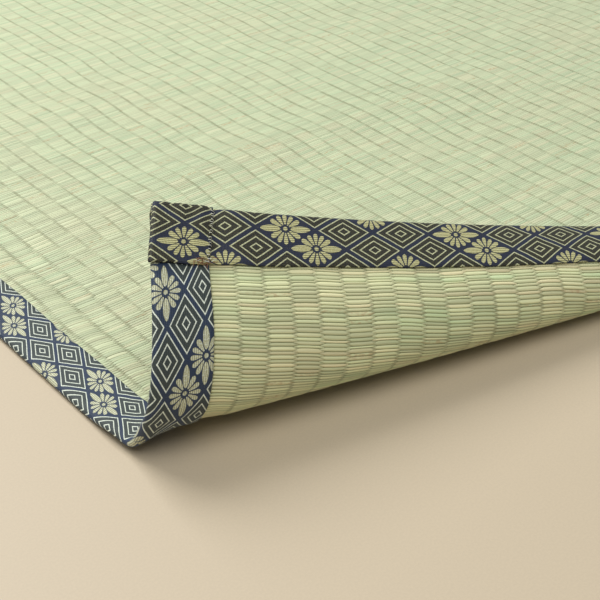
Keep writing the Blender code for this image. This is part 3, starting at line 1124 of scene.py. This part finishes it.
def corner_tail(edge, side, material):
    """The tape's end, turned down outside the corner and back under it as a square patch."""
    seed = 31 + corner_number(edge, side)
    route = np.array(TAIL_TURN + tuple((x, -TAIL_HEIGHT) for x in np.linspace(*TAIL_RUN, TAIL_ROWS)))
    x, z = route[:, 0:1], route[:, 1:2]
    down = smooth_step((LEG_HEIGHT - z) / (LEG_HEIGHT + TAIL_HEIGHT))
    low = TAIL_TOP - TAIL_SINK * down
    high = TAPE_TOP_WIDTH + (TAIL_LOW - TAPE_TOP_WIDTH) * down
    share = np.linspace(0, 1, TAIL_COLUMNS)[None, :]
    along = low + share * (high - low)
    start, end = tail_edges(along)
    far = x / TAIL_RUN[1]
    ragged = ripple(along, 0 * along, TAIL_RAGGED, seed + 9) * smooth_step((far - 0.8) / 0.2)
    across = start + far * (end - start) + ragged
    hem = ripple(across, 0 * across, TAIL_HEM, seed + 5)
    along = along + hem * smooth_step((share - 0.85) / 0.15)
    creases = ripple(across, along, TAIL_CREASES, seed) * smooth_step((far - 0.03) / 0.2)
    settle = 0.0005 * smooth_step((far - 0.85) / 0.15) - 0.0002 * smooth_step((share - 0.92) / 0.08)
    height = z + np.where(z < TAIL_BELOW, creases + settle, 0.0)
    step = np.gradient(route, axis=0)
    normal = np.stack((-step[:, 1], step[:, 0]), 1) / np.linalg.norm(step, axis=1)[:, None]
    layers = [
        np.stack((across + half * normal[:, 0:1], along, height + half * normal[:, 1:2]), -1).reshape(-1, 3)
        for half in (TAPE_HALF, -TAPE_HALF)]
    middle, row, cell_width = TAIL_FIGURE
    lengthwise = (across - middle - TAIL_SHEAR * (row - along)) / CELL[0]
    figure = np.stack((lengthwise.ravel(), ((along - row) / cell_width).ravel()), 1)
    tail = add_piece(
        f"short_tape_{edge}_{side}_tail", at_corner(np.concatenate(layers), edge, side),
        sheet_faces(len(route), TAIL_COLUMNS).tolist(), (material,),
        {"pattern": np.concatenate((figure, figure))})


def thread_piece(name, paths, kinds, radius, edge, side, material):
    """Threads as thin round tubes along paths of flat places, joined in one mesh."""
    turn = 2 * math.pi * np.arange(THREAD_SIDES)[None, :, None] / THREAD_SIDES
    places, faces, values = [], [], []
    first = 0
    for path, kind in zip(paths, kinds):
        rows = len(path)
        count = rows * THREAD_SIDES
        run = np.gradient(path, axis=0)
        run /= np.linalg.norm(run, axis=1)[:, None]
        beside = np.cross(run, (0.0, 0.0, 1.0))
        beside /= np.maximum(np.linalg.norm(beside, axis=1), 1e-9)[:, None]
        over = np.cross(beside, run)
        taper = np.ones(rows)
        taper[[0, -1]] = 0.5
        ring = beside[:, None, :] * np.cos(turn) + over[:, None, :] * np.sin(turn)
        places.append((path[:, None, :] + ring * (radius * taper)[:, None, None]).reshape(-1, 3))
        corner = first + np.arange(count).reshape(rows, THREAD_SIDES)
        after = np.roll(corner, -1, axis=1)
        faces += np.stack((corner[:-1], after[:-1], after[1:], corner[1:]), -1).reshape(-1, 4).tolist()
        faces += [corner[0].tolist(), corner[-1, ::-1].tolist()]
        twisted = np.linspace(0, 0.003, rows)
        values.append(np.stack((np.full(count, kind), np.repeat(twisted, THREAD_SIDES)), 1))
        first += count
    places = at_corner(np.concatenate(places), edge, side)
    piece = add_piece(name, places, faces, (material,), {"thread": np.concatenate(values)})


def stitch_path(draw, along, on_tail, on_tape, radius):
    """One stitch: out of the tail, over its cut end and down into the tape."""
    end = tail_edges(along)[1]
    back = draw.uniform(0.0006, 0.0015)
    out = draw.uniform(0.0003, 0.0010)
    slant = draw.uniform(-0.0004, 0.0010)
    return np.array([
        (end - back, along, on_tail + 0.0004),
        (end - back + 0.0002, along, on_tail - radius * 0.6),
        (end - back / 2, along + slant / 2, on_tail - radius * 1.4),
        (end + 0.0002, along + slant * 0.8, on_tail - radius * 0.8),
        (end + out * 0.8, along + slant, on_tape - radius * 0.8),
        (end + out, along + slant, on_tape + 0.0004),
    ])


def fibre_path(draw, number, sideways, on_tail, on_tape, radius):
    """One loose fibre: most lie sideways, every third one hangs over the tail's edge."""
    across = draw.uniform(0.0190, 0.0300)
    along = draw.uniform(0.0258, 0.0288)
    reach = draw.uniform(0.0025, 0.0060) if sideways else draw.uniform(0.0015, 0.0032)
    heading = draw.normal(0.0, 0.22) + (0.0 if sideways else 1.35)
    lift = draw.uniform(0.0, 0.0007)
    share = np.linspace(0, 1, FIBRE_STEPS)
    bend = 0.0007 * np.sin(3.0 * share + number) * share
    past = along + reach * share * math.sin(heading)
    return np.stack((
        across + reach * share * math.cos(heading) - bend * math.sin(heading),
        past + bend * math.cos(heading),
        on_tail - radius * 0.7 - lift * np.sin(math.pi * share)
        + (on_tape - on_tail) * smooth_step((past - 0.0295) / 0.0015),
    ), 1)


class CARPET_OT_threads(bpy.types.Operator):
    """Sew the corner tails down and fray their cut ends"""

    bl_idname = "carpet.threads"
    bl_label = "Stitches and frayed ends"

    def execute(self, context):
        material = thread_material()
        radius = sizes().thread_radius
        surfaces = (-(TAIL_HEIGHT + TAPE_HALF), -(LEG_HEIGHT + TAPE_HALF), radius)
        for edge, side in (("front", "left"), ("front", "right"), ("back", "left"), ("back", "right")):
            draw = np.random.default_rng(50 + corner_number(edge, side))
            paths, kinds = [], [0.0] * STITCHES
            for k in range(STITCHES):
                along = 0.0004 + k * STITCHED / STITCHES + draw.normal(0, 0.0002)
                paths.append(stitch_path(draw, along, *surfaces))
            for k in range(FIBRES):
                sideways = k % 3 != 0
                paths.append(fibre_path(draw, k, sideways, *surfaces))
                kinds.append(float(draw.random() < (0.55 if sideways else 0.85)))
            thread_piece(f"short_tape_{edge}_{side}_threads", paths, kinds, radius, edge, side, material)
        return {"FINISHED"}


class CARPET_OT_stage(bpy.types.Operator):
    """Set the plain floor, the soft light and the camera"""

    bl_idname = "carpet.stage"
    bl_label = "Stage"

    def execute(self, context):
        scene = context.scene
        bpy.ops.mesh.primitive_plane_add(size=FLOOR_SIZE, location=(0, 0, -0.0002))
        floor = context.object
        floor.name = "floor"
        floor.data.materials.append(floor_material())
        world = bpy.data.worlds.new("soft_light")
        world.use_nodes = True
        sky = world.node_tree.nodes["Background"].inputs
        sky["Color"].default_value = SKY
        sky["Strength"].default_value = SKY_STRENGTH
        scene.world = world
        for name, place, size, power in LIGHTS:
            light = bpy.data.lights.new(name, "AREA")
            light.shape = "SQUARE"
            light.size = size
            light.energy = power
            lamp = bpy.data.objects.new(name, light)
            lamp.location = place
            lamp.rotation_euler = (Vector(LIT_PLACE) - Vector(place)).to_track_quat("-Z", "Y").to_euler()
            scene.collection.objects.link(lamp)
        data = bpy.data.cameras.new("camera")
        data.lens = CAMERA_LENS
        data.clip_start = 0.01
        camera = bpy.data.objects.new("camera", data)
        forward = Vector((
            math.sin(CAMERA_YAW) * math.cos(CAMERA_PITCH),
            math.cos(CAMERA_YAW) * math.cos(CAMERA_PITCH),
            -math.sin(CAMERA_PITCH),
        ))
        level = Vector((math.cos(CAMERA_YAW), -math.sin(CAMERA_YAW), 0.0))
        upward = level.cross(forward)
        sideways = math.cos(CAMERA_ROLL) * level + math.sin(CAMERA_ROLL) * upward
        upward = -math.sin(CAMERA_ROLL) * level + math.cos(CAMERA_ROLL) * upward
        turned = Matrix((sideways, upward, -forward)).transposed().to_4x4()
        turned.translation = CAMERA_PLACE
        camera.matrix_world = turned
        scene.collection.objects.link(camera)
        scene.camera = camera
        scene.view_settings.view_transform = "Standard"
        return {"FINISHED"}


class CARPET_PT_sidebar(bpy.types.Panel):
    """Buttons and sizes of the carpet"""

    bl_idname = "CARPET_PT_sidebar"
    bl_label = "Rush Grass Carpet"
    bl_space_type = "VIEW_3D"
    bl_region_type = "UI"
    bl_category = "Carpet"

    def draw(self, context):
        layout = self.layout
        for operator in OPERATORS:
            layout.operator(operator.bl_idname)
        for group in (context.scene.carpet_sizes, context.scene.carpet_colours):
            for name in group.__annotations__:
                layout.prop(group, name)


OPERATORS = (
    CARPET_OT_stage,
    CARPET_OT_rush_panel,
    CARPET_OT_rush_stems,
    CARPET_OT_long_tapes,
    CARPET_OT_short_tapes,
    CARPET_OT_threads,
)
CLASSES = (CarpetSizes, CarpetColours) + OPERATORS + (CARPET_PT_sidebar,)


def register():
    for cls in CLASSES:
        bpy.utils.register_class(cls)
    bpy.types.Scene.carpet_sizes = bpy.props.PointerProperty(type=CarpetSizes)
    bpy.types.Scene.carpet_colours = bpy.props.PointerProperty(type=CarpetColours)


def unregister():
    del bpy.types.Scene.carpet_colours
    del bpy.types.Scene.carpet_sizes
    for cls in reversed(CLASSES):
        bpy.utils.unregister_class(cls)


def main():
    register()
    bpy.ops.carpet.stage()
    bpy.ops.carpet.rush_panel()
    bpy.ops.carpet.rush_stems()
    bpy.ops.carpet.long_tapes()
    bpy.ops.carpet.short_tapes()
    bpy.ops.carpet.threads()


if __name__ == "__main__":
    main()
